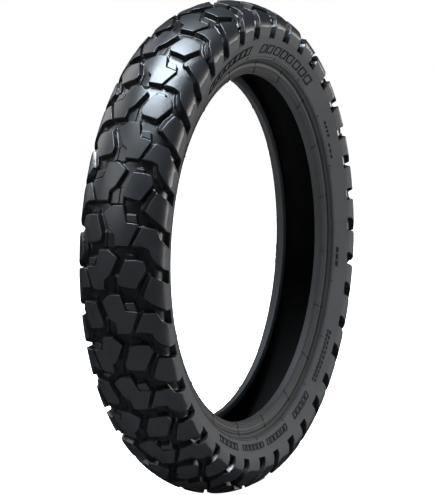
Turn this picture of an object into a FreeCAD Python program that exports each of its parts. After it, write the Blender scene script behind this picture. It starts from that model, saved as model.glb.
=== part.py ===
import FreeCAD, Part
import math
import os

# A 120/80-18 motorcycle tire with a block tread, built up from its separate plies, rubbers and beads.
# The axle is the Y axis, the origin is the tire's centre, and +Z is up. All lengths are in millimetres.

# Driving dimensions of the outside
OUTER_RADIUS = 324.5
CROWN_CURVE = 75.7
CROWN_SWEEP = 38.6
SHOULDER_CURVE = 28.4
SIDE_TAPER = 24.7
SIDE_RUN = 24.1
RIM_LINE_CURVE = 4.0
RIM_LINE_SLOPE = 62.0
FLANGE_CURVE = 12.5
FLANGE_SLOPE = 15.0
BEAD_SEAT_RADIUS = 228.6
TOE_Y = 24.0
TOE_CURVE = 0.8

# Bead bundle: steel wires in rubber, wrapped with fabric
BEAD_WIRE_RADIUS = 0.45
BEAD_WIRE_PITCH = 1.1
WIRES_ROUND_CORE = 6
INSULATION_RADIUS = 2.0
BEAD_WRAP_RADIUS = 2.4

# Layers of the casing, measured inward from the outer face of the outer ply
PLY = 0.8
CHAFER = 0.5
CUSHION_UNDER_BEAD = 1.2
CASING_WALL = 2 * PLY + CHAFER + CUSHION_UNDER_BEAD

# Shape of the casing's outer face, from the crown to the bead
CASING_CROWN_RADIUS = 310.5
CASING_CROWN_SWEEP = 42.0
CASING_SHOULDER_CURVE = 20.3
CASING_SIDE_SLOPE = 19.0
CASING_LOWER_CURVE = 20.0
CASING_LOWER_SLOPE = 43.0
CASING_BEAD_CURVE = 8.0
TURN_UP_LEAN = 20.0
TURN_UP_CURVE = 7.0
TURN_UP_INNER_PLY = 9.5
TURN_UP_OUTER_PLY = 7.0
FILLER_START = 3
SECTION_REACH = 90.0
TREAD_ZONE_TOP = OUTER_RADIUS + 20.0
TREAD_END_CUT = (-10.0, 15.0)

# Breakers and undertread above the crown of the casing
BREAKER = 1.0
BREAKER_LOWER_SWEEP = 36.0
BREAKER_UPPER_SWEEP = 32.0
UNDERTREAD = 3.5

# Tread: blocks stand on a solid base layer
PITCHES = 19
PITCH_ANGLE = 360.0 / PITCHES
FIRST_PITCH_ANGLE = 155.7
GROOVE_DEPTH = 7.5
BLOCK_ROOT = 0.8
BLOCK_OVERSIZE = 2.5
TREAD_EDGE = 88.0

# Where the rim cushion and liner meet the sidewall: a line across the section
BEAD_ZONE_INNER = (20.0, 238.0)
BEAD_ZONE_OUTER = (50.0, 250.0)
CHAFER_DROP = 2.5

# Block outlines in one pitch: distance along the crown from the centreline, angle from the pitch mark
BLOCKS = {
    "centre": [(10, -0.3), (24.2, -0.3), (34.6, -4.75), (20, -5.25), (14, -8.8), (1.2, -8.8), (-9.8, -7.3),
               (-10.6, -6.9), (-1, -3.5), (1.9, -3.05), (6.6, -2.4), (6.7, -0.3)],
    "step": [(20.9, -5.5), (33.4, -5.05), (30.9, -7), (18.9, -7)],
    "inner": [(12.5, 7.9), (15.2, 8.3), (33.8, 8.8), (35.3, 8.4), (46.4, 4.9), (45.6, 4.1), (43.1, 3),
              (34.6, 2.65), (20.4, 2.75), (10.9, 6.9)],
    "shoulder": [(28.4, -0.3), (40, -0.35), (48.6, 0.2), (53, 2.1), (60, 3.4), (70, 4.8), (80, 5.25),
                 (92, 5.3), (92, 0), (80, -0.2), (71, -1.2), (63.5, -2.1), (58, -4.2), (44, -4.45),
                 (40.5, -4.55)],
    "outer": [(42.4, 11), (51, 12.3), (60, 13.3), (72, 14.7), (80, 15), (92, 15), (92, 8.65), (80, 8.6),
              (70, 7.75), (60, 7), (53.2, 6.45), (47.3, 8.6)],
}

AXLE = FreeCAD.Vector(0, 1, 0)
CENTRE = FreeCAD.Vector(0, 0, 0)


class Path:
    """A smooth line of arcs and straights in the (y, radius) plane, followed from the crown outward.

    The heading is 0 when the line runs towards the axle and -90 when it runs outward along +Y.
    Every point can be taken at an offset towards the inside of the tire.
    """

    def __init__(self, y, radius, heading):
        self.spots = [(y, radius, heading, 0.0)]

    def line(self, length):
        y, radius, heading, _ = self.spots[-1]
        angle = math.radians(heading)
        self.spots.append((y - length * math.sin(angle), radius - length * math.cos(angle), heading, 0.0))

    def arc(self, curve, end_heading):
        """Turns to end_heading: towards the inside for a positive curve, the outside for a negative one."""
        y, radius, heading, _ = self.spots[-1]
        centre_y, centre_radius = shifted(y, radius, heading, curve)
        self.spots.append((*shifted(centre_y, centre_radius, end_heading, -curve), end_heading, curve))

    def point(self, number, offset=0.0):
        y, radius, heading, _ = self.spots[number]
        return shifted(y, radius, heading, offset)

    def edges(self, offset=0.0):
        found = []
        for start, end in zip(self.spots, self.spots[1:]):
            first = vector(*shifted(*start[:3], offset))
            last = vector(*shifted(*end[:3], offset))
            curve = end[3]
            if curve == 0.0:
                found.append(Part.LineSegment(first, last).toShape())
                continue
            centre_y, centre_radius = shifted(*start[:3], curve)
            middle = shifted(centre_y, centre_radius, (start[2] + end[2]) / 2, offset - curve)
            found.append(Part.Arc(first, vector(*middle), last).toShape())
        return found

    def at_length(self, length):
        """The point and heading at a distance along the line."""
        for start, end in zip(self.spots, self.spots[1:]):
            curve = end[3]
            turn = end[2] - start[2]
            run = math.radians(turn) * curve if curve else math.dist(start[:2], end[:2])
            if length > run:
                length -= run
                continue
            if curve == 0.0:
                angle = math.radians(start[2])
                return start[0] - length * math.sin(angle), start[1] - length * math.cos(angle), start[2]
            heading = start[2] + turn * length / run
            centre_y, centre_radius = shifted(*start[:3], curve)
            return (*shifted(centre_y, centre_radius, heading, -curve), heading)
        raise ValueError("length is past the end of the line")


def vector(y, radius):
    return FreeCAD.Vector(0, y, radius)


def shifted(y, radius, heading, inward):
    """Moves a point towards the inside of the tire, square to its heading."""
    angle = math.radians(heading)
    return y - inward * math.cos(angle), radius + inward * math.sin(angle)


def face_of(edges):
    return Part.Face(Part.Wire(Part.__sortEdges__(edges)))


def joined(first, second):
    return Part.LineSegment(vector(*first), vector(*second)).toShape()


def strip(path, outer, inner):
    """The face between two offsets of one path."""
    edges = path.edges(outer) + path.edges(inner)
    edges.append(joined(path.point(0, outer), path.point(0, inner)))
    edges.append(joined(path.point(-1, outer), path.point(-1, inner)))
    return face_of(edges)


def polygon(points):
    return Part.Face(Part.makePolygon([vector(*point) for point in points + points[:1]]))


def disc(centre, radius):
    circle = Part.Circle(vector(*centre), FreeCAD.Vector(1, 0, 0), radius)
    return Part.Face(Part.Wire(circle.toShape()))


def largest(shape):
    return max(shape.Faces, key=lambda face: face.Area)


def spun(face):
    """The solid ring that a face of the section makes when it goes round the axle."""
    return face.revolve(CENTRE, AXLE, 360.0)


def mirrored(shape):
    return shape.mirror(CENTRE, AXLE)


def both_halves(face):
    """A ring that crosses the crown, made from its half section."""
    half = spun(face)
    return half.fuse(mirrored(half)).removeSplitter()


def mould_path():
    path = Path(0.0, OUTER_RADIUS, -90.0)
    path.arc(CROWN_CURVE, CROWN_SWEEP - 90.0)
    path.arc(SHOULDER_CURVE, SIDE_TAPER)
    path.line(SIDE_RUN)
    path.arc(RIM_LINE_CURVE, RIM_LINE_SLOPE)
    path.arc(-FLANGE_CURVE, FLANGE_SLOPE)
    heel = BEAD_WRAP_RADIUS + CASING_WALL
    drop = path.spots[-1][1] - BEAD_SEAT_RADIUS - heel * (1 - math.sin(math.radians(FLANGE_SLOPE)))
    path.line(drop / math.cos(math.radians(FLANGE_SLOPE)))
    path.arc(heel, 90.0)
    path.line(path.spots[-1][0] - TOE_Y - TOE_CURVE)
    path.arc(TOE_CURVE, 180.0)
    return path


def bead_centre(mould):
    """The heel arc is drawn about the bead bundle."""
    y, _, _, _ = mould.spots[-3]
    return y, BEAD_SEAT_RADIUS + BEAD_WRAP_RADIUS + CASING_WALL


def casing_to_bead(bead):
    """The casing's outer face, down to where it starts to turn round the bead."""
    slope_side = math.radians(CASING_SIDE_SLOPE)
    slope_lower = math.radians(CASING_LOWER_SLOPE)
    trial = casing_with_runs(0.0, 0.0)
    y, radius, _, _ = trial.spots[-1]
    gap_y = y - (bead[0] - BEAD_WRAP_RADIUS)
    gap_radius = radius - bead[1]
    scale = math.sin(slope_lower - slope_side)
    side_run = (gap_radius * math.sin(slope_lower) - gap_y * math.cos(slope_lower)) / scale
    lower_run = (gap_y * math.cos(slope_side) - gap_radius * math.sin(slope_side)) / scale
    return casing_with_runs(side_run, lower_run)


def casing_with_runs(side_run, lower_run):
    path = Path(0.0, CASING_CROWN_RADIUS, -90.0)
    path.arc(CASING_CROWN_RADIUS - OUTER_RADIUS + CROWN_CURVE, CASING_CROWN_SWEEP - 90.0)
    path.arc(CASING_SHOULDER_CURVE, CASING_SIDE_SLOPE)
    path.line(side_run)
    path.arc(CASING_LOWER_CURVE, CASING_LOWER_SLOPE)
    path.line(lower_run)
    path.arc(-CASING_BEAD_CURVE, 0.0)
    return path


def casing_path(bead, turn_up):
    """The casing goes down inside the bead, round it, and up outside it for the turn-up length."""
    path = casing_to_bead(bead)
    path.arc(-BEAD_WRAP_RADIUS, -180.0)
    path.arc(TURN_UP_CURVE, TURN_UP_LEAN - 180.0)
    path.line(turn_up)
    return path


def filler_face(bead):
    """The rubber wedge between the two legs of the outer ply, above the bead bundle."""
    legs = casing_path(bead, TURN_UP_OUTER_PLY)
    loop = Path(*legs.spots[FILLER_START][:3])
    loop.spots = legs.spots[FILLER_START:]
    edges = loop.edges() + [joined(loop.point(0), loop.point(-1))]
    tip_radius = legs.point(-1)[1]
    below_tip = polygon([(0, BEAD_SEAT_RADIUS), (SECTION_REACH, BEAD_SEAT_RADIUS),
                         (SECTION_REACH, tip_radius), (0, tip_radius)])
    return largest(face_of(edges).common(below_tip).cut(disc(bead, BEAD_WRAP_RADIUS)))


def wire_centres(bead):
    centres = [bead]
    for number in range(WIRES_ROUND_CORE):
        angle = 2 * math.pi * number / WIRES_ROUND_CORE
        centres.append((bead[0] + BEAD_WIRE_PITCH * math.cos(angle),
                        bead[1] + BEAD_WIRE_PITCH * math.sin(angle)))
    return centres


def bead_faces(bead):
    wires = Part.makeCompound([disc(centre, BEAD_WIRE_RADIUS) for centre in wire_centres(bead)])
    return {
        "bead_wires": wires,
        "bead_insulation": disc(bead, INSULATION_RADIUS).cut(wires),
        "bead_wrap": disc(bead, BEAD_WRAP_RADIUS).cut(disc(bead, INSULATION_RADIUS)),
        "bead_filler": filler_face(bead),
    }


def tire_face(mould, casing):
    """The whole half section, from the outer skin to the inner face of the liner."""
    edges = mould.edges() + casing.edges(CASING_WALL)
    edges.append(joined(mould.point(0), casing.point(0, CASING_WALL)))
    edges.append(joined(mould.point(-1), casing.point(-1, CASING_WALL)))
    return face_of(edges)


def crown_strip(sweep, outer, inner):
    """A strip over the crown of the casing, as wide as its sweep."""
    path = Path(0.0, CASING_CROWN_RADIUS, -90.0)
    path.arc(CASING_CROWN_RADIUS - OUTER_RADIUS + CROWN_CURVE, sweep - 90.0)
    return strip(path, outer, inner)


def tread_zone(mould):
    """Everything on the crown side of the line that ends the tread, square to the outer skin."""
    outside, inside = [shifted(*mould.at_length(TREAD_EDGE), inward) for inward in TREAD_END_CUT]
    return polygon([(0, TREAD_ZONE_TOP), (SECTION_REACH, TREAD_ZONE_TOP), (SECTION_REACH, outside[1]),
                    outside, inside, (0, inside[1])])


def bead_zone(drop=0.0):
    inner_y, inner_radius = BEAD_ZONE_INNER
    outer_y, outer_radius = BEAD_ZONE_OUTER
    floor = BEAD_SEAT_RADIUS - 5.0
    return polygon([(inner_y, inner_radius - drop), (outer_y, outer_radius - drop), (outer_y, floor),
                    (inner_y, floor)])


def section_faces():
    """Every layer's face in the half section. What is left over outside the casing is the sidewall."""
    mould = mould_path()
    bead = bead_centre(mould)
    whole = tire_face(mould, casing_to_bead(bead))
    faces = bead_faces(bead)
    faces["carcass_ply_outer"] = strip(casing_path(bead, TURN_UP_OUTER_PLY), 0.0, PLY)
    faces["carcass_ply_inner"] = strip(casing_path(bead, TURN_UP_INNER_PLY), PLY, 2 * PLY)
    chafer = strip(casing_path(bead, TURN_UP_INNER_PLY), 2 * PLY, 2 * PLY + CHAFER)
    faces["chafer"] = largest(chafer.common(bead_zone(CHAFER_DROP)))
    liner = strip(casing_to_bead(bead), 2 * PLY, CASING_WALL)
    faces["inner_liner"] = largest(liner.cut(bead_zone()))
    faces["breaker_ply_lower"] = crown_strip(BREAKER_LOWER_SWEEP, -BREAKER, 0.0)
    faces["breaker_ply_upper"] = crown_strip(BREAKER_UPPER_SWEEP, -2 * BREAKER, -BREAKER)
    undertread = crown_strip(CASING_CROWN_SWEEP, -UNDERTREAD, 0.0)
    faces["tread_base"] = largest(undertread.cut([faces["breaker_ply_lower"], faces["breaker_ply_upper"]]))
    placed = list(faces.values())
    faces["rim_cushion"] = largest(whole.common(bead_zone()).cut(placed))
    faces["tread_cap"] = largest(whole.common(tread_zone(mould)).cut(placed))
    faces["sidewall"] = largest(whole.cut(placed + [faces["rim_cushion"], faces["tread_cap"]]))
    return mould, faces


def block_point(mould, along, angle, inward):
    """A point of the tread, by its distance from the centreline, its angle and its depth."""
    y, radius, heading = mould.at_length(abs(along))
    y, radius = shifted(y, radius, heading, inward)
    turn = math.radians(angle)
    return FreeCAD.Vector(radius * math.cos(turn), math.copysign(y, -along), radius * math.sin(turn))


def ears(outline):
    """Splits an outline into triangles, as three corner numbers each."""
    scaled = [(along, angle * math.radians(OUTER_RADIUS)) for along, angle in outline]
    left = list(range(len(outline)))
    area = sum(cross((0, 0), scaled[i - 1], scaled[i]) for i in left)
    triangles = []
    while len(left) > 3:
        for spot in range(len(left)):
            a, b, c = left[spot - 1], left[spot], left[(spot + 1) % len(left)]
            if cross(scaled[a], scaled[b], scaled[c]) * area <= 0:
                continue
            others = [scaled[i] for i in left if i not in (a, b, c)]
            if not any(inside(other, scaled[a], scaled[b], scaled[c], area) for other in others):
                triangles.append((a, b, c))
                left.remove(b)
                break
    triangles.append(tuple(left))
    return triangles


def cross(a, b, c):
    return (b[0] - a[0]) * (c[1] - a[1]) - (b[1] - a[1]) * (c[0] - a[0])


def inside(point, a, b, c, area):
    return all(cross(p, q, point) * area >= 0 for p, q in ((a, b), (b, c), (c, a)))


def triangle(a, b, c):
    return Part.Face(Part.makePolygon([a, b, c, a]))


def block(mould, outline):
    """A block as a solid with flat walls, a little taller and deeper than the tread layer."""
    top = [block_point(mould, along, angle, -BLOCK_OVERSIZE) for along, angle in outline]
    foot = [block_point(mould, along, angle, GROOVE_DEPTH + BLOCK_ROOT) for along, angle in outline]
    faces = []
    for a, b, c in ears(outline):
        faces.append(triangle(top[a], top[b], top[c]))
        faces.append(triangle(foot[a], foot[b], foot[c]))
    for spot in range(len(outline)):
        faces.append(triangle(top[spot - 1], top[spot], foot[spot]))
        faces.append(triangle(top[spot - 1], foot[spot], foot[spot - 1]))
    solid = Part.makeSolid(Part.makeShell(faces))
    if solid.Volume < 0:
        solid.reverse()
    return solid


def one_pitch(mould, layer):
    """The blocks of one pitch on both sides. The far side is mirrored and half a pitch further round."""
    blocks = []
    for outline in BLOCKS.values():
        near = [(along, FIRST_PITCH_ANGLE + angle) for along, angle in outline]
        far = [(-along, angle + PITCH_ANGLE / 2) for along, angle in near]
        blocks += [block(mould, near).common(layer), block(mould, far).common(layer)]
    return blocks


def turned(shape, number):
    copy = shape.copy()
    copy.rotate(CENTRE, AXLE, -PITCH_ANGLE * number)
    return copy


def tread_cap(mould, cap_face):
    """The base layer with the blocks of every pitch standing on it, as one solid."""
    y, radius, heading = mould.at_length(TREAD_EDGE)
    outer = Path(0.0, OUTER_RADIUS, -90.0)
    outer.spots = mould.spots[:2] + [(y, radius, heading, SHOULDER_CURVE)]
    groove = strip(outer, -BLOCK_OVERSIZE, GROOVE_DEPTH)
    base = both_halves(largest(cap_face.cut(groove)))
    layer = both_halves(largest(cap_face.common(strip(outer, -BLOCK_OVERSIZE, GROOVE_DEPTH + BLOCK_ROOT / 2))))
    pitch = one_pitch(mould, layer)
    blocks = [turned(piece, number) for number in range(PITCHES) for piece in pitch]
    return base.fuse(blocks)


def save(name, shape):
    shape.exportStep(os.path.join("parts", name + ".step"))
    print(name, len(shape.Solids), round(shape.Volume / 1000.0, 1), shape.isValid())


def main():
    os.makedirs("parts", exist_ok=True)
    mould, faces = section_faces()
    save("tread_cap", tread_cap(mould, faces["tread_cap"]))
    for name in ("tread_base", "breaker_ply_upper", "breaker_ply_lower", "carcass_ply_outer",
                 "carcass_ply_inner", "inner_liner"):
        save(name, both_halves(faces[name]))
    for name in ("sidewall", "rim_cushion", "chafer", "bead_filler", "bead_wrap", "bead_insulation",
                 "bead_wires"):
        ring = spun(faces[name])
        save(name + "_right", ring)
        save(name + "_left", mirrored(ring))


main()
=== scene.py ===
import math

import bmesh
import bpy
import numpy as np
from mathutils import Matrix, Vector
from mathutils.geometry import delaunay_2d_cdt


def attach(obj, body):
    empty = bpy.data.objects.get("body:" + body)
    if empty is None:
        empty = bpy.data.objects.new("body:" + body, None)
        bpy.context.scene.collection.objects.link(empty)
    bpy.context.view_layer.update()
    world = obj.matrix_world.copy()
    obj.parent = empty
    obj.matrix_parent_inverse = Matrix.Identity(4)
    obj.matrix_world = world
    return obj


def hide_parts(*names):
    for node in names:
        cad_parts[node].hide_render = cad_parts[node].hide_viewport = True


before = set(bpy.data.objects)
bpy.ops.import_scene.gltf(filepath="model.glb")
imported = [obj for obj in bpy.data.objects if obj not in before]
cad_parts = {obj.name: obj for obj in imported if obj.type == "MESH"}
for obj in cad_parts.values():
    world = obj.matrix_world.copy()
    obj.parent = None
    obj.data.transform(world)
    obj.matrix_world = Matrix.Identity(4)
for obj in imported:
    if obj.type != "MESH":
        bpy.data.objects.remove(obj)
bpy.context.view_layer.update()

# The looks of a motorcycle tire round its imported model. Lengths are in millimetres until a mesh is made.
# A point of the outer skin is given by its distance along the section from the crown, and its angle
# round the axle: 90 degrees is the top, 180 is -X. Distances are positive on the -Y side.
MM = 0.001

# Outer skin: arcs and straights of the section, from the crown to the toe of the bead
OUTER_RADIUS = 324.5
CROWN_CURVE, CROWN_END = 75.7, -51.4
SHOULDER_CURVE, SIDE_TAPER = 28.4, 24.7
SIDE_RUN = 24.1
RIM_LINE_CURVE, RIM_LINE_SLOPE = 4.0, 62.0
FLANGE_CURVE, FLANGE_SLOPE = 12.5, 15.0
HEEL_CURVE = 5.7
BEAD_SEAT_RADIUS = 228.6
TOE_Y, TOE_CURVE = 24.0, 0.8

# Tread
PITCHES = 19
PITCH = 360.0 / PITCHES
FIRST_PITCH = 155.7
DEPTH = 7.5
LEDGE = 88.0
TREAD_END = 93.0
STEPS_PER_PITCH = 24
LEDGE_STEPS, PITCH_EDGE_STEPS = 36, 31
WALL_LEAN = 1.2
CUT_EDGE = 0.3
EDGE_CLEARANCE = 1.6
CAP_INNER_DEPTH = 10.4
CAP_INNER_STOPS = (86, 80, 72, 64, 54, 44, 33, 22, 11)
FLAT_SCALE = math.radians(310.0)
# How far outlines, lines and spots reach past the two ends of one pitch
OUTLINE_MARGIN, LINE_MARGIN, SPOT_MARGIN = 12, 14, 16
# Loose spots between the outlines keep the triangles small
FILL_REACH, FILL_SPACING = 90, 6.0

# Bevel, wall and root of a block: distance outward from its outline, and how far down
EDGE = [(-1.5, 0.0), (-0.75, 0.0), (-0.4, 0.07), (-0.12, 0.28), (0.0, 0.6)]
ROOT = [(0.0, 1.3), (0.35, 0.5), (0.95, 0.1), (1.6, 0.0)]

# Tops of the tread's raised parts in one pitch: (distance in mm, angle in degrees) corners, how far the
# top is below the tread surface, and how far its wall leans out
RAISED = {
    "centre": ([(10, -0.3), (24.2, -0.3), (34.6, -4.75), (33.9, -5.0), (20, -5.25), (14, -8.8), (1.2, -8.8),
                (-9.8, -7.3), (-10.6, -6.9), (-1, -3.5), (1.9, -3.05), (6.6, -2.4), (6.7, -0.3)], 0.0, 1.2),
    "step": ([(20.9, -5.5), (33.4, -5.05), (30.9, -7.0), (18.9, -7.0)], 0.5, 0.9),
    "inner": ([(12.5, 7.9), (15.2, 8.3), (33.8, 8.8), (35.3, 8.4), (46.4, 4.9), (45.6, 4.1), (43.1, 3.0),
               (34.6, 2.65), (20.4, 2.75), (10.9, 6.9)], 0.0, 1.2),
    "inner_ledge": ([(22, 3.2), (33.5, 3.1), (33.5, 1.55), (22, 1.55)], 4.6, 0.9),
    "shoulder": ([(28.4, -0.3), (40, -0.35), (48.6, 0.2), (50.4, 1.1), (53, 2.1), (60, 3.4), (70, 4.8),
                  (80, 5.25), (89.5, 5.3), (89.5, 0.0), (80, -0.2), (71, -1.2), (63.5, -2.1), (58, -4.2),
                  (44, -4.45), (40.5, -4.55)], 0.0, 1.2),
    "shoulder_ledge": ([(46.2, 1.2), (50.5, 3.4), (56, 4.4), (62, 5.0), (62, 3), (52, 0.6), (46.2, -0.2)],
                       4.4, 1.2),
    "outer": ([(42.4, 11.0), (51, 12.3), (60, 13.3), (72, 14.7), (80, 15.0), (89.5, 15.0), (89.5, 8.65),
               (80, 8.6), (70, 7.75), (60, 7.0), (53.2, 6.45), (47.3, 8.6)], 0.0, 1.2),
    "outer_ledge": ([(37.6, 10.4), (39.2, 11.1), (43.5, 11.2), (49, 8.5), (54.5, 6.6), (51.6, 5.85),
                     (49.6, 5.95), (42, 8.2)], 3.4, 0.9),
    "slit_floor": ([(23.5, -0.6), (29.5, -0.6), (41, -4.4), (34, -4.7)], 4.2, 0.4),
    "groove_bridge": ([(-6, 6.3), (11.5, 6.3), (12.5, 9.7), (-6, 9.7)], 5.3, 1.0),
}
# Cuts: outline and depth below the tread surface
CUTS = {
    "bridge_slit": ([(5.4, 6.1), (6.6, 6.1), (6.6, 9.9), (5.4, 9.9)], DEPTH),
}
CORNER_CURVE = 1.3


# ---------------------------------------------------------------- the section

def moved(y, radius, heading, inward):
    """A point moved square to its heading, towards the inside of the tire."""
    angle = math.radians(heading)
    return y - inward * math.cos(angle), radius + inward * math.sin(angle)


def trace(start, moves):
    """A line's stretches: start y, start radius, start heading, end heading, curve, length.
    A move is ("arc", curve, end heading) or ("line", length)."""
    found = []
    at = list(start)
    for kind, *sizes in moves:
        if kind == "line":
            angle = math.radians(at[2])
            found.append((*at, at[2], 0.0, sizes[0]))
            at[0] -= sizes[0] * math.sin(angle)
            at[1] -= sizes[0] * math.cos(angle)
            continue
        curve, end = sizes
        centre = moved(*at, curve)
        found.append((*at, end, curve, math.radians(end - at[2]) * curve))
        at[0], at[1] = moved(*centre, end, -curve)
        at[2] = end
    return found, tuple(at)


def skin_stretches():
    down, (y, radius, _) = trace((0.0, OUTER_RADIUS, -90.0), [
        ("arc", CROWN_CURVE, CROWN_END), ("arc", SHOULDER_CURVE, SIDE_TAPER), ("line", SIDE_RUN),
        ("arc", RIM_LINE_CURVE, RIM_LINE_SLOPE), ("arc", -FLANGE_CURVE, FLANGE_SLOPE)])
    slope = math.radians(FLANGE_SLOPE)
    run = (radius - BEAD_SEAT_RADIUS - HEEL_CURVE * (1 - math.sin(slope))) / math.cos(slope)
    flange, (y, radius, _) = trace((y, radius, FLANGE_SLOPE), [("line", run), ("arc", HEEL_CURVE, 90.0)])
    toe, _ = trace((y, radius, 90.0), [("line", y - TOE_Y - TOE_CURVE), ("arc", TOE_CURVE, 180.0)])
    return down + flange + toe


def on_line(stretches, along):
    """y, radius and heading at a distance along a line's stretches."""
    for y, radius, heading, end, curve, length in stretches:
        if along > length and stretches[-1][:2] != (y, radius):
            along -= length
            continue
        if curve == 0.0:
            angle = math.radians(heading)
            return y - along * math.sin(angle), radius - along * math.cos(angle), heading
        turned = heading + (end - heading) * along / length
        return (*moved(*moved(y, radius, heading, curve), turned, -curve), turned)
    raise ValueError("past the end of the line")


SKIN = skin_stretches()
SKIN_LENGTH = sum(stretch[5] for stretch in SKIN)
CASING = trace((0.0, 310.5, -90.0), [
    ("arc", 61.7, -48.0), ("arc", 20.3, 19.0), ("line", 19.2), ("arc", 20.0, 43.0), ("line", 10.84),
    ("arc", -8.0, 0.0)])[0]
CASING_LENGTH = sum(stretch[5] for stretch in CASING)
CASING_WALL = 3.3


def skin(along):
    """y, radius and heading of the skin at a distance from the crown, on the +Y half."""
    return on_line(SKIN, along)


def place(y, radius, angle):
    turn = math.radians(angle)
    return radius * math.cos(turn) * MM, y * MM, radius * math.sin(turn) * MM


def skin_point(along, angle, height=0.0):
    """A point above or below the skin. The near side of the tire, -Y, has positive distances."""
    y, radius, heading = skin(abs(along))
    y, radius = moved(y, radius, heading, -height)
    return place(-y if along > 0 else y, radius, angle)


# ---------------------------------------------------------------- flat outlines

def to_flat(outline, shift=0.0, mirror=False):
    """Corners in mm on both axes: the angle becomes a length round a middle radius of the tread."""
    sign = -1 if mirror else 1
    offset = shift + (PITCH / 2 if mirror else 0.0)
    points = [(sign * along, (angle + offset) * FLAT_SCALE) for along, angle in outline]
    return np.array(points[::-1] if signed_area(points) < 0 else points)


def signed_area(points):
    x, y = np.array(points).T
    return 0.5 * float(np.sum(x * np.roll(y, -1) - np.roll(x, -1) * y))


def rounded(points, curve=CORNER_CURVE, steps=3):
    """Rounds each corner by an arc-like curve, no longer than 0.4 of its shorter side."""
    result = []
    for spot in range(len(points)):
        before, corner, after = points[spot - 1], points[spot], points[(spot + 1) % len(points)]
        to_before, to_after = before - corner, after - corner
        cut = min(curve, 0.4 * np.linalg.norm(to_before), 0.4 * np.linalg.norm(to_after))
        start = corner + to_before / np.linalg.norm(to_before) * cut
        end = corner + to_after / np.linalg.norm(to_after) * cut
        for step in range(steps + 1):
            t = step / steps
            result.append((1 - t) ** 2 * start + 2 * t * (1 - t) * corner + t ** 2 * end)
    return np.array(result)


def divided(points, longest=7.0):
    result = []
    for spot in range(len(points)):
        start, end = points[spot], points[(spot + 1) % len(points)]
        parts = max(1, math.ceil(np.linalg.norm(end - start) / longest))
        result += [start + (end - start) * part / parts for part in range(parts)]
    return np.array(result)


def grown(points, distance):
    """The outline moved outward by a distance, corner by corner."""
    back = points - np.roll(points, 1, axis=0)
    ahead = np.roll(points, -1, axis=0) - points
    out_back = np.stack([back[:, 1], -back[:, 0]], 1) / np.linalg.norm(back, axis=1)[:, None]
    out_ahead = np.stack([ahead[:, 1], -ahead[:, 0]], 1) / np.linalg.norm(ahead, axis=1)[:, None]
    middle = out_back + out_ahead
    middle /= np.maximum(np.linalg.norm(middle, axis=1), 1e-9)[:, None]
    stretch = 1 / np.maximum(np.sum(middle * out_back, axis=1), 0.6)
    return points + middle * (distance * stretch)[:, None]


def distances(spots, outline):
    """Signed distance of each spot from an outline, negative inside."""
    start, end = outline, np.roll(outline, -1, axis=0)
    edge = end - start
    best = np.full(len(spots), 1e9)
    crossings = np.zeros(len(spots), int)
    for a, b, e in zip(start, end, edge):
        t = np.clip(((spots - a) @ e) / max(e @ e, 1e-12), 0, 1)
        best = np.minimum(best, np.linalg.norm(spots - a - t[:, None] * e, axis=1))
        straddles = (a[1] > spots[:, 1]) != (b[1] > spots[:, 1])
        rise = e[1] if abs(e[1]) > 1e-12 else 1e-12
        crossings += straddles & (spots[:, 0] < a[0] + (spots[:, 1] - a[1]) / rise * e[0])
    return np.where(crossings % 2 == 1, -best, best)


# ---------------------------------------------------------------- the tread surface

def wall_profile(top, lean):
    """Distance outward and depth of a raised part's edge, wall and root, down to the groove floor."""
    deep = DEPTH - top
    edge = [(distance, top + drop) for distance, drop in EDGE if drop < deep - EDGE_CLEARANCE]
    foot = [(lean + distance, DEPTH - rise) for distance, rise in ROOT]
    return edge + foot


def raised_parts():
    """Every raised part that can reach one pitch, as a flat outline and its wall profile."""
    parts = []
    for outline, top, lean in RAISED.values():
        for mirror in (False, True):
            for pitch in (-2, -1, 0, 1, 2):
                flat = rounded(to_flat(outline, pitch * PITCH, mirror))
                if (flat[:, 1].max() < -OUTLINE_MARGIN
                        or flat[:, 1].min() > PITCH * FLAT_SCALE + OUTLINE_MARGIN):
                    continue
                parts.append((divided(flat), wall_profile(top, lean)))
    return parts


def cut_parts():
    parts = []
    for outline, depth in CUTS.values():
        for mirror in (False, True):
            for pitch in (-2, -1, 0, 1, 2):
                parts.append((to_flat(outline, pitch * PITCH, mirror), depth))
    return parts


def depth_at(spots, parts, cuts):
    """How far below the tread surface each spot lies."""
    depth = np.full(len(spots), DEPTH)
    for outline, profile in parts:
        reach, drop = zip(*profile)
        depth = np.minimum(depth, np.interp(distances(spots, outline), reach, drop))
    reach, drop = zip(*wall_profile(0.0, WALL_LEAN))
    depth = np.minimum(depth, np.interp(LEDGE - np.abs(spots[:, 0]), reach, drop))
    for outline, deep in cuts:
        depth = np.maximum(depth, np.interp(distances(spots, outline), (-CUT_EDGE, CUT_EDGE), (deep, 0.0)))
    return depth


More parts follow.
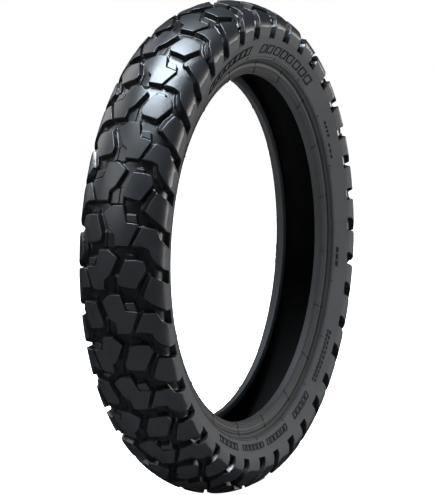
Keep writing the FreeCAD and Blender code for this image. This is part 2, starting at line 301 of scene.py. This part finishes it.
def one_pitch():
    """Vertices (distance, angle, height) and triangles of one pitch of the tread's outer surface."""
    parts, cuts = raised_parts(), cut_parts()
    width = PITCH * FLAT_SCALE
    spots, edges = [], []

    def add_loop(points):
        first = len(spots)
        spots.extend(points.tolist())
        edges.extend((first + i, first + (i + 1) % len(points)) for i in range(len(points)))

    def add_line(start, end, steps):
        first = len(spots)
        start, end = np.array(start), np.array(end)
        spots.extend((start + (end - start) * i / steps).tolist() for i in range(steps + 1))
        edges.extend((first + i, first + i + 1) for i in range(steps))

    for outline, profile in parts:
        for reach, _ in profile:
            add_loop(grown(outline, reach))
    for outline, _ in cuts:
        add_loop(grown(outline, -CUT_EDGE))
        add_loop(grown(outline, CUT_EDGE))
    for reach, _ in wall_profile(0.0, WALL_LEAN):
        for side in (-1, 1):
            line = side * (LEDGE - reach)
            add_line((line, -LINE_MARGIN), (line, width + LINE_MARGIN), LEDGE_STEPS)
    for side in (-1, 1):
        add_line((side * TREAD_END, 0), (side * TREAD_END, width), STEPS_PER_PITCH)
    for edge in (0.0, width):
        add_line((-TREAD_END, edge), (TREAD_END, edge), PITCH_EDGE_STEPS)
    for along in np.arange(-FILL_REACH, FILL_REACH + 0.1, FILL_SPACING):
        for across in np.arange(3.0, width - 2, FILL_SPACING):
            spots.append([along + 1.5 * math.sin(across), across])
    kept = [i for i, (along, across) in enumerate(spots)
            if abs(along) <= TREAD_END and -SPOT_MARGIN < across < width + SPOT_MARGIN]
    number = {old: new for new, old in enumerate(kept)}
    flat = [Vector(spots[i]) for i in kept]
    links = [(number[a], number[b]) for a, b in edges if a in number and b in number and a != b]
    points, _, faces, _, _, _ = delaunay_2d_cdt(flat, links, [], 0, 1e-4)
    points = np.array([tuple(point) for point in points])
    faces = np.array([face for face in faces if len(face) == 3])
    middle = points[faces].mean(axis=1)
    inside = (middle[:, 1] > 0) & (middle[:, 1] < width) & (np.abs(middle[:, 0]) < TREAD_END)
    faces = faces[inside]
    used, faces = np.unique(faces, return_inverse=True)
    points, faces = points[used], faces.reshape(-1, 3)
    for edge in (0.0, width):
        points[np.abs(points[:, 1] - edge) < 1e-3, 1] = edge
    return points, -depth_at(points, parts, cuts), faces


# ---------------------------------------------------------------- meshes

SEGMENTS = PITCHES * STEPS_PER_PITCH
SHARP_ANGLE = math.radians(42)
# In metres: spots closer than the first are joined, and the third is how near an edge lies to a seam
JOIN_REACH, SLIVER, SEAM_REACH = 2e-6, 1e-7, 2e-5


def add_piece(name, vertices, faces, materials, looks, node):
    """A new piece of the tire that rides on its body and stands for one CAD node.

    looks gives the faces that take each material after the first.
    """
    mesh = bpy.data.meshes.new(name)
    mesh.from_pydata(vertices, [], faces)
    mesh.update()
    piece = bpy.data.objects.new(name, mesh)
    bpy.context.scene.collection.objects.link(piece)
    for material in materials:
        mesh.materials.append(material)
    for look, numbers in enumerate(looks, 1):
        for number in numbers:
            mesh.polygons[number].material_index = look
    clean_up(mesh)
    weighted = piece.modifiers.new("weighted_normals", "WEIGHTED_NORMAL")
    weighted.mode = "FACE_AREA_WITH_ANGLE"
    weighted.keep_sharp = True
    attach(piece, "root")
    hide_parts(node)
    return piece


def clean_up(mesh):
    """Joins the seams, makes all faces point outward and shades them smooth."""
    shape = bmesh.new()
    shape.from_mesh(mesh)
    bmesh.ops.remove_doubles(shape, verts=shape.verts, dist=JOIN_REACH)
    bmesh.ops.dissolve_degenerate(shape, edges=shape.edges, dist=SLIVER)
    bmesh.ops.recalc_face_normals(shape, faces=shape.faces)
    for face in shape.faces:
        face.smooth = True
    seams = [[size * MM for size in skin(along)[:2]] for along in (TREAD_END, SIDEWALL_END)]
    for edge in shape.edges:
        on_seam = any(all(math.dist((abs(spot.co.y), math.hypot(spot.co.x, spot.co.z)), seam) < SEAM_REACH
                          for spot in edge.verts) for seam in seams)
        edge.smooth = not on_seam and edge.calc_face_angle(0.0) < SHARP_ANGLE
    shape.to_mesh(mesh)
    shape.free()


def ring(rows, closed=True):
    """Vertices and quads of a section turned round the axle. Rows are (y, radius)."""
    vertices, faces = [], []
    for y, radius in rows:
        for step in range(SEGMENTS):
            vertices.append(place(y, radius, FIRST_PITCH + step * 360.0 / SEGMENTS))
    count = len(rows)
    for row in range(count if closed else count - 1):
        below = (row + 1) % count
        for step in range(SEGMENTS):
            ahead = (step + 1) % SEGMENTS
            faces.append((row * SEGMENTS + step, row * SEGMENTS + ahead,
                          below * SEGMENTS + ahead, below * SEGMENTS + step))
    return vertices, faces


def skin_row(along, side, height=0.0):
    y, radius, heading = skin(along)
    y, radius = moved(y, radius, heading, -height)
    return side * y, radius


def build_tread(materials):
    """All pitches of the tread surface, closed on the inside by the cap's inner face."""
    flat, heights, triangles = one_pitch()
    painted_light_shoulder, painted_shade_notch, painted_shade_groove = [], [], []
    for number, face in enumerate(triangles):
        nearest = min(abs(flat[corner][0]) for corner in face)
        lowest = min(heights[corner] for corner in face)
        # Shoulder land tops take the sidewall's matte grey: partly its finish, partly a painted lighter
        # tone standing in for how light falls on the shoulder
        if nearest > PAINTED_TONE_START and lowest > -PAINTED_TONE_DEPTH:
            painted_light_shoulder.append(number)
        # Faces deeper in the shoulder notches are painted near black as shade
        elif nearest > NOTCH_START:
            painted_shade_notch.append(number)
        # Groove walls and floors are painted darker than the tops as shade
        elif lowest < -GROOVE_SHADE_DEPTH:
            painted_shade_groove.append(number)
    vertices, faces = [], []
    for pitch in range(PITCHES):
        first = len(vertices)
        for (along, across), height in zip(flat, heights):
            angle = FIRST_PITCH + pitch * PITCH + across / FLAT_SCALE
            vertices.append(skin_point(along, angle, height))
        faces += [tuple(int(corner) + first for corner in face) for face in triangles]
    inner = [skin_row(TREAD_END, 1)]
    inner += [skin_row(along, 1, -CAP_INNER_DEPTH) for along in (*CAP_INNER_STOPS, 0)]
    rows = inner + [(-y, radius) for y, radius in inner[-2::-1]]
    ring_vertices, ring_faces = ring(rows, closed=False)
    first = len(vertices)
    vertices += ring_vertices
    faces += [tuple(corner + first for corner in face) for face in ring_faces]
    looks = [[number + pitch * len(triangles) for pitch in range(PITCHES) for number in numbers]
             for numbers in (painted_light_shoulder, painted_shade_notch, painted_shade_groove)]
    return add_piece("tread_blocks", vertices, faces, materials, looks, "tread_cap")


# Ribs and fine grooves on the sidewall and the bead: distance along the skin, height, half width
SIDEWALL_RIBS = [(113.7, 0.5, 0.6), (116.6, 1.0, 0.9)]
BEAD_RIBS = [(129.0, 0.6, 2.0), (132.6, -0.35, 0.45), (134.7, -0.35, 0.45), (136.8, -0.35, 0.45),
             (138.9, -0.3, 0.45)]
# Bands painted darker as shade: the hollow above the flange, and the darkest lines, painted near black
# where shade is deepest by the ribs, in the hollow and in the fine grooves
HOLLOW = (114.4, 126.0)
PAINTED_SHADE_LINES = [(112.9, 113.3), (122.2, 124.6), (132.3, 132.9), (134.4, 135.0), (136.5, 137.1)]
SIDEWALL_END = 120.6
# Painted tone on the tread surface: where the shoulder's painted lighter tone and the notches' painted
# shade start, and how deep the lighter tone and the grooves' painted shade reach
PAINTED_TONE_START, NOTCH_START = 70.0, 74.0
PAINTED_TONE_DEPTH, GROOVE_SHADE_DEPTH = 0.7, 0.9
SIDEWALL_THICKNESS = 5.0
# Inside of the sidewall: distance along the skin, share of the thickness
SIDEWALL_INSIDE = ((118, 0.45), (113, 0.8), (108, 1), (101, 1), (96, 1))
SIDEWALL_SPACING, BEAD_SPACING = 1.6, 0.9
BEAD_LAP = 8.0


def ribbed_rows(start, end, ribs, side, spacing):
    """Rows of the skin between two distances, with close rows where a rib stands."""
    count = max(2, int((end - start) / spacing))
    stops = {round(along, 3): 0.0 for along in np.linspace(start, end, count)}
    for middle, height, half in ribs:
        for part, share in ((-1, 0), (-0.55, 0.75), (-0.25, 1), (0.25, 1), (0.55, 0.75), (1, 0)):
            stops[round(middle + part * half, 3)] = share * height
        for along in [along for along in stops if abs(along - middle) < half * 0.99]:
            if stops[along] == 0.0:
                del stops[along]
    rows = [skin_row(along, side, stops[along]) for along in sorted(stops)]
    # Rows painted as shade: near black along the darkest lines, and a darker grey across the hollow above
    # the flange
    painted_shade, hollow = [], []
    for row, along in enumerate(sorted(stops)):
        band = range(row * SEGMENTS, (row + 1) * SEGMENTS)
        if any(near - 0.01 <= along < far for near, far in PAINTED_SHADE_LINES):
            painted_shade += band
        elif HOLLOW[0] <= along < HOLLOW[1]:
            hollow += band
    return rows, painted_shade, hollow


def add_shell(vertices, faces, loops, closed_tube):
    """Joins loops of equal length with quads: a tube of loops, or a stack with both ends closed."""
    first = len(vertices)
    count = len(loops[0])
    for loop in loops:
        vertices += loop
    for row in range(len(loops) if closed_tube else len(loops) - 1):
        below = (row + 1) % len(loops)
        for corner in range(count):
            ahead = (corner + 1) % count
            faces.append(tuple(first + index for index in (
                row * count + corner, row * count + ahead, below * count + ahead, below * count + corner)))
    if not closed_tube:
        faces.append(tuple(range(first + count - 1, first - 1, -1)))
        faces.append(tuple(range(first + (len(loops) - 1) * count, first + len(loops) * count)))


# Raised marks on the wall: slanted frames and bars in place of words
MARK_HEIGHT, MARK_ROOT = 0.9, 0.2
MARK_BEVEL = 0.12
TICK_HEIGHT, TICK_SPACING = 0.6, 0.8
TICK_ANGLE = -44.0
# Where a tick starts and ends along the skin, and its section: offset round the tire, height
SHORT_TICK, LONG_TICK = (111.2, 115.6), (SIDEWALL_END + 0.6, SIDEWALL_END + 19.0)
TICK_SECTION = ((-0.5, -MARK_ROOT), (-0.35, TICK_HEIGHT), (0.35, TICK_HEIGHT), (0.5, -MARK_ROOT))
# start angle, end angle, number, middle along the skin, height, share of the width, stroke
MARK_ROWS = [
    (126.5, 97.5, 8, 102.2, 12.0, 0.84, 1.5),
    (91.5, 54.0, 8, 102.4, 12.0, 0.72, 1.5),
    (38.0, 31.5, 4, 104.6, 3.2, 0.55, 0.0),
    (30.0, 24.0, 3, 107.2, 2.6, 0.60, 0.0),
    (-4.5, -11.0, 3, 107.6, 4.0, 0.75, 0.0),
    (-31.0, -50.0, 13, 104.6, 2.4, 0.66, 0.0),
    (-31.0, -50.0, 11, 99.9, 2.4, 0.62, 0.0),
    (-55.0, -67.0, 5, 103.4, 8.6, 0.76, 1.2),
    (-72.0, -86.5, 6, 103.4, 8.6, 0.76, 1.2),
    (-88.5, -103.0, 6, 103.4, 8.6, 0.76, 1.2),
    (-106.0, -119.0, 5, 102.8, 10.2, 0.80, 1.3),
    (-200.0, -215.0, 11, 104.6, 2.4, 0.64, 0.0),
]
SLANT = 0.28


def raised_mark(vertices, faces, outline, along, angle, side, stroke=0.0):
    """A raised mark on the sidewall. Its outline is in mm: across the wall, then round the tire."""
    radius = skin(along)[1]
    centre = np.mean(outline, axis=0)

    def loop(points, height):
        placed = []
        for outward, onward in points:
            spot = skin_point(along - outward, angle + math.degrees(onward / radius), height)
            placed.append((spot[0], -side * spot[1], spot[2]))
        return placed

    def shrunk(by):
        reach = np.array(outline) - centre
        size = np.abs(reach).max(axis=0)
        return [tuple(centre + part * (size - by) / size) for part in reach]

    if stroke:
        rings = [loop(outline, -MARK_ROOT), loop(shrunk(MARK_BEVEL), MARK_HEIGHT),
                 loop(shrunk(stroke), MARK_HEIGHT), loop(shrunk(stroke + MARK_BEVEL), -MARK_ROOT)]
        add_shell(vertices, faces, rings, True)
    else:
        rings = [loop(outline, -MARK_ROOT), loop(shrunk(MARK_BEVEL), MARK_HEIGHT)]
        add_shell(vertices, faces, rings, False)


def raised_tick(vertices, faces, start, end, angle, side):
    """A fine raised line down the wall at one angle, left by a joint of the mould."""
    rows = []
    for along in np.linspace(start, end, max(2, int((end - start) / TICK_SPACING))):
        radius = skin(along)[1]
        row = []
        for onward, height in TICK_SECTION:
            spot = skin_point(along, angle + math.degrees(onward / radius), height)
            row.append((spot[0], -side * spot[1], spot[2]))
        rows.append(row)
    add_shell(vertices, faces, rows, False)


def wall_marks(vertices, faces, side):
    for start, end, number, along, height, share, stroke in MARK_ROWS:
        pitch = (end - start) / number
        half = abs(math.radians(pitch)) * skin(along)[1] * share / 2
        tall = height / 2
        for count in range(number):
            angle = start + (count + 0.5) * pitch
            lean = SLANT * height / 2
            outline = [(tall, half - lean), (0.3 * tall, half - 0.3 * lean), (-tall, half + lean),
                       (-tall, -half + lean), (-0.3 * tall, -half + 0.3 * lean), (tall, -half - lean)]
            if count % 3 == 1 and stroke:
                outline[1] = (0.0, half + 0.25 * half)
                outline[4] = (0.0, -half + 0.25 * half)
            raised_mark(vertices, faces, outline, along, angle, side, stroke)
    for pitch in range(PITCHES):
        raised_tick(vertices, faces, *SHORT_TICK, TICK_ANGLE - pitch * PITCH - PITCH / 2, side)


def build_sidewall(side, name, materials):
    outer, painted_shade, hollow = ribbed_rows(TREAD_END, SIDEWALL_END, SIDEWALL_RIBS, side, SIDEWALL_SPACING)
    inner = [skin_row(along, side, -SIDEWALL_THICKNESS * share) for along, share in SIDEWALL_INSIDE]
    vertices, faces = ring(outer + inner)
    wall = len(faces)
    wall_marks(vertices, faces, side)
    # The raised marks and the mould ticks take near black as painted shade, standing in for the shadowed
    # outlines of raised lettering
    painted_shade += range(wall, len(faces))
    return add_piece("sidewall_skin_" + name, vertices, faces, materials, [painted_shade, hollow],
                     "sidewall_" + name)


def build_bead(side, name, materials):
    outer, painted_shade, _ = ribbed_rows(SIDEWALL_END, SKIN_LENGTH, BEAD_RIBS, side, BEAD_SPACING)
    inner = []
    for share in (0.0, 0.33, 0.66, 1.0):
        y, radius, heading = on_line(CASING, CASING_LENGTH - BEAD_LAP * share)
        y, radius = moved(y, radius, heading, CASING_WALL)
        inner.append((side * y, radius))
    vertices, faces = ring(outer + inner)
    band = len(faces)
    for pitch in range(PITCHES):
        raised_tick(vertices, faces, *LONG_TICK, TICK_ANGLE - pitch * PITCH, side)
    # The mould ticks take near black as painted shade
    painted_shade += range(band, len(faces))
    return add_piece("bead_cushion_" + name, vertices, faces, materials, [painted_shade], "rim_cushion_" + name)


# ---------------------------------------------------------------- materials

SHADE_SPREAD, SHEEN_SPREAD = 0.2, 0.07


def new_material(name, colour, roughness, specular=0.5):
    material = bpy.data.materials.new(name)
    material.use_nodes = True
    shader = material.node_tree.nodes["Principled BSDF"]
    shader.inputs["Base Color"].default_value = (*colour, 1.0)
    shader.inputs["Roughness"].default_value = roughness
    shader.inputs["Specular IOR Level"].default_value = specular
    return material, material.node_tree, shader


def rubber(name, colour, roughness, grain_height, specular=0.5):
    """Moulded rubber: fine grain, uneven sheen and slightly uneven blackness."""
    material, tree, shader = new_material(name, colour, roughness, specular)
    nodes, links = tree.nodes, tree.links
    spots = nodes.new("ShaderNodeTexCoord")
    cloud = nodes.new("ShaderNodeTexNoise")
    cloud.inputs["Scale"].default_value = 28.0
    cloud.inputs["Detail"].default_value = 5.0
    links.new(spots.outputs["Object"], cloud.inputs["Vector"])
    shade = nodes.new("ShaderNodeMix")
    shade.data_type = "RGBA"
    shade.inputs["A"].default_value = (*[part * (1 - SHADE_SPREAD) for part in colour], 1.0)
    shade.inputs["B"].default_value = (*[part * (1 + SHADE_SPREAD) for part in colour], 1.0)
    links.new(cloud.outputs["Fac"], shade.inputs["Factor"])
    links.new(shade.outputs["Result"], shader.inputs["Base Color"])
    sheen = nodes.new("ShaderNodeMapRange")
    sheen.inputs["To Min"].default_value = roughness - SHEEN_SPREAD
    sheen.inputs["To Max"].default_value = roughness + SHEEN_SPREAD
    links.new(cloud.outputs["Fac"], sheen.inputs["Value"])
    links.new(sheen.outputs["Result"], shader.inputs["Roughness"])
    grain = nodes.new("ShaderNodeTexNoise")
    grain.inputs["Scale"].default_value = 900.0
    grain.inputs["Detail"].default_value = 3.0
    links.new(spots.outputs["Object"], grain.inputs["Vector"])
    bump = nodes.new("ShaderNodeBump")
    bump.inputs["Strength"].default_value = 0.35
    bump.inputs["Distance"].default_value = grain_height * MM
    links.new(grain.outputs["Fac"], bump.inputs["Height"])
    links.new(bump.outputs["Normal"], shader.inputs["Normal"])
    return material


def corded(name):
    """Rubbered fabric: fine cords show through as ridges."""
    material = rubber(name, (0.02, 0.018, 0.016), 0.62, 0.1)
    nodes, links = material.node_tree.nodes, material.node_tree.links
    cords = nodes.new("ShaderNodeTexWave")
    cords.inputs["Scale"].default_value = 260.0
    cords.inputs["Distortion"].default_value = 0.6
    ridge = nodes.new("ShaderNodeBump")
    ridge.inputs["Strength"].default_value = 0.6
    ridge.inputs["Distance"].default_value = 0.3 * MM
    spots = nodes.new("ShaderNodeTexCoord")
    links.new(spots.outputs["Object"], cords.inputs["Vector"])
    links.new(cords.outputs["Fac"], ridge.inputs["Height"])
    links.new(ridge.outputs["Normal"], nodes["Bump"].inputs["Normal"])
    return material


def bright_wire():
    """Drawn steel with a brass tint and a worn, uneven sheen."""
    material, tree, shader = new_material("bead_wire_steel", (0.5, 0.42, 0.3), 0.35)
    nodes, links = tree.nodes, tree.links
    shader.inputs["Metallic"].default_value = 1.0
    spots = nodes.new("ShaderNodeTexCoord")
    scuffs = nodes.new("ShaderNodeTexNoise")
    scuffs.inputs["Scale"].default_value = 400.0
    sheen = nodes.new("ShaderNodeMapRange")
    sheen.inputs["To Min"].default_value = 0.22
    sheen.inputs["To Max"].default_value = 0.5
    bump = nodes.new("ShaderNodeBump")
    bump.inputs["Distance"].default_value = 0.02 * MM
    links.new(spots.outputs["Object"], scuffs.inputs["Vector"])
    links.new(scuffs.outputs["Fac"], sheen.inputs["Value"])
    links.new(sheen.outputs["Result"], shader.inputs["Roughness"])
    links.new(scuffs.outputs["Fac"], bump.inputs["Height"])
    links.new(bump.outputs["Normal"], shader.inputs["Normal"])
    return material


# ---------------------------------------------------------------- stage

VIEW_AZIMUTH, VIEW_ELEVATION, VIEW_DISTANCE = -64.02, 5.838, 2.8942
LENS = 159.4
SHIFT_X, SHIFT_Y = -0.0214, -0.0006
SENSOR_WIDTH = 36.0
FLOOR_HALF = 300.0
# Lights: name, azimuth, elevation, distance, size, power, colour
LIGHTS = [
    ("overhead_key", -90, 82, 3.0, (1.9, 1.9), 350, (0.78, 0.89, 1.0)),
    ("side_panel", 52, 5, 3.2, (3.0, 1.0), 62, (1.0, 0.97, 0.94)),
    ("front_fill", -120, 30, 3.2, (2.4, 1.4), 34, (0.92, 0.96, 1.0)),
    ("back_panel", 170, 30, 3.4, (2.4, 2.4), 40, (1, 1, 1)),
]


def direction(azimuth, elevation):
    a, e = math.radians(azimuth), math.radians(elevation)
    return Vector((math.sin(a) * math.cos(e), -math.cos(a) * math.cos(e), math.sin(e)))


def add_camera():
    data = bpy.data.cameras.new("camera")
    data.lens = LENS
    data.sensor_width = SENSOR_WIDTH
    data.shift_x, data.shift_y = SHIFT_X, SHIFT_Y
    data.clip_end = 100.0
    camera = bpy.data.objects.new("camera", data)
    bpy.context.scene.collection.objects.link(camera)
    back = direction(VIEW_AZIMUTH, VIEW_ELEVATION)
    camera.location = back * VIEW_DISTANCE
    camera.rotation_euler = (-back).to_track_quat("-Z", "Y").to_euler()
    bpy.context.scene.camera = camera


def add_light(name, azimuth, elevation, distance, size, power, colour):
    data = bpy.data.lights.new(name, "AREA")
    data.shape = "RECTANGLE"
    data.size, data.size_y = size
    data.energy = power
    data.color = colour
    light = bpy.data.objects.new(name, data)
    bpy.context.scene.collection.objects.link(light)
    towards = direction(azimuth, elevation)
    light.location = towards * distance
    light.rotation_euler = towards.to_track_quat("Z", "Y").to_euler()


def add_floor():
    height = -OUTER_RADIUS * MM
    mesh = bpy.data.meshes.new("floor")
    mesh.from_pydata([(x * FLOOR_HALF, y * FLOOR_HALF, height)
                      for x, y in ((-1, -1), (1, -1), (1, 1), (-1, 1))], [], [(0, 1, 2, 3)])
    floor = bpy.data.objects.new("floor", mesh)
    bpy.context.scene.collection.objects.link(floor)
    material, _, shader = new_material("pale_floor", (0.9, 0.9, 0.9), 0.9, 0.0)
    shader.inputs["Emission Color"].default_value = (1, 1, 1, 1)
    shader.inputs["Emission Strength"].default_value = 1.0
    mesh.materials.append(material)
    floor.visible_glossy = False


def add_world():
    world = bpy.data.worlds.new("studio")
    bpy.context.scene.world = world
    world.use_nodes = True
    backdrop = world.node_tree.nodes["Background"]
    backdrop.inputs["Color"].default_value = (1, 1, 1, 1)
    backdrop.inputs["Strength"].default_value = 1.0
    world.cycles_visibility.diffuse = False
    world.cycles_visibility.glossy = False


# ---------------------------------------------------------------- the scene

def main():
    tread = rubber("tread_rubber", (0.0095, 0.0096, 0.0104), 0.34, 0.15)
    # A darker copy of the tread rubber, painted into the grooves as shade
    groove = rubber("groove_shade_rubber", (0.0038, 0.0039, 0.0043), 0.30, 0.1)
    side = rubber("sidewall_rubber", (0.036, 0.036, 0.036), 0.68, 0.10, 0.15)
    # Also paints the sidewall's hollow above the flange darker, as painted shade
    bead = rubber("bead_rubber", (0.019, 0.019, 0.019), 0.58, 0.05, 0.2)
    # This rubber also paints near black, as shade, the shoulder notches, the darkest lines and the raised
    # marks and ticks
    liner_and_shade = rubber("liner_rubber", (0.004, 0.004, 0.004), 0.75, 0.2, 0.2)
    cord = corded("ply_cord")
    # The tread's shoulder land tops take the sidewall rubber as a painted lighter tone, the notches near
    # black and the grooves a darker rubber as painted shade
    build_tread((tread, side, liner_and_shade, groove))
    for sign, name in ((1, "right"), (-1, "left")):
        build_sidewall(sign, name, (side, liner_and_shade, bead))
        build_bead(sign, name, (bead, liner_and_shade))
    inside = {"inner_liner": liner_and_shade, "tread_base": tread, "bead_filler": bead, "bead_insulation": bead,
              "bead_wires": bright_wire(), "bead_wrap": cord, "chafer": cord, "breaker_ply": cord,
              "carcass_ply": cord}
    for name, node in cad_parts.items():
        for start, material in inside.items():
            if name.startswith(start):
                for slot in node.material_slots:
                    slot.material = material
    add_camera()
    add_floor()
    add_world()
    for light in LIGHTS:
        add_light(*light)
    bpy.context.scene.view_settings.view_transform = "Standard"


main()
